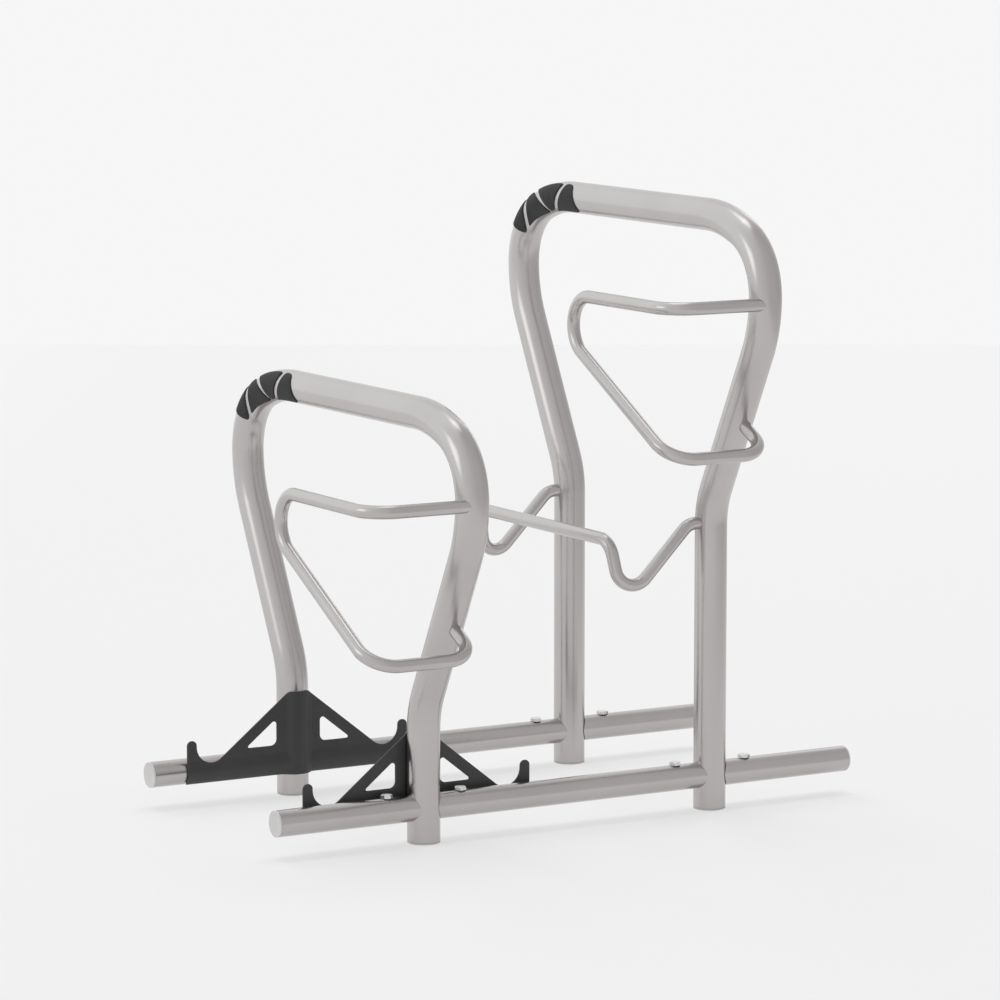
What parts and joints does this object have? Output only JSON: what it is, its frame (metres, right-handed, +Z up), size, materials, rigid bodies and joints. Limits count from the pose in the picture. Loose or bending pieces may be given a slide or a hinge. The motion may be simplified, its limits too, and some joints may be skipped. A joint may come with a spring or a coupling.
{
  "type": "two tier bike rack",
  "caption": "Floor-standing steel bicycle rack: a low and a high tube hoop on two rails, with bent wheel clamps, a wheel cradle, black brackets and rubbing pads.",
  "frame": {"origin": "on the floor, midway between the four legs and midway along the rails", "axes": "+X along the rails toward the high hoop, +Y toward the side with the pads, +Z up"},
  "size_m": [1.216, 0.9286, 1.1419],
  "materials": {
    "steel": "satin warm grey",
    "cap": "satin pale grey",
    "bolt": "bright zinc plate",
    "bracket": "satin black",
    "pad": "matt black"
  },
  "bodies": {
    "root": {"far_high_foot_plug": "cap", "far_high_sleeve": "steel", "far_low_foot_plug": "cap", "far_low_sleeve": "steel", "far_rail_bolt_1": "bolt", "far_rail_bolt_2": "bolt", "far_rail_bolt_3": "bolt", "far_rail_bolt_4": "bolt", "far_rail_cap_left": "cap", "far_rail_cap_right": "cap", "far_rail_left": "steel", "far_rail_middle": "steel", "far_rail_right": "steel", "far_wheel_bracket": "bracket", "high_hoop": "steel", "high_hoop_pad_1": "pad", "high_hoop_pad_2": "pad", "high_hoop_pad_3": "pad", "high_hoop_pad_4": "pad", "high_wheel_clamp": "steel", "high_wheel_cradle": "steel", "low_hoop": "steel", "low_hoop_pad_1": "pad", "low_hoop_pad_2": "pad", "low_hoop_pad_3": "pad", "low_hoop_pad_4": "pad", "low_wheel_clamp": "steel", "near_high_foot_plug": "cap", "near_high_sleeve": "steel", "near_low_foot_plug": "cap", "near_low_sleeve": "steel", "near_rail_bolt_1": "bolt", "near_rail_bolt_2": "bolt", "near_rail_bolt_3": "bolt", "near_rail_bolt_4": "bolt", "near_rail_cap_left": "cap", "near_rail_cap_right": "cap", "near_rail_left": "steel", "near_rail_middle": "steel", "near_rail_right": "steel", "near_wheel_bracket": "bracket"}
  },
  "joints": []
}
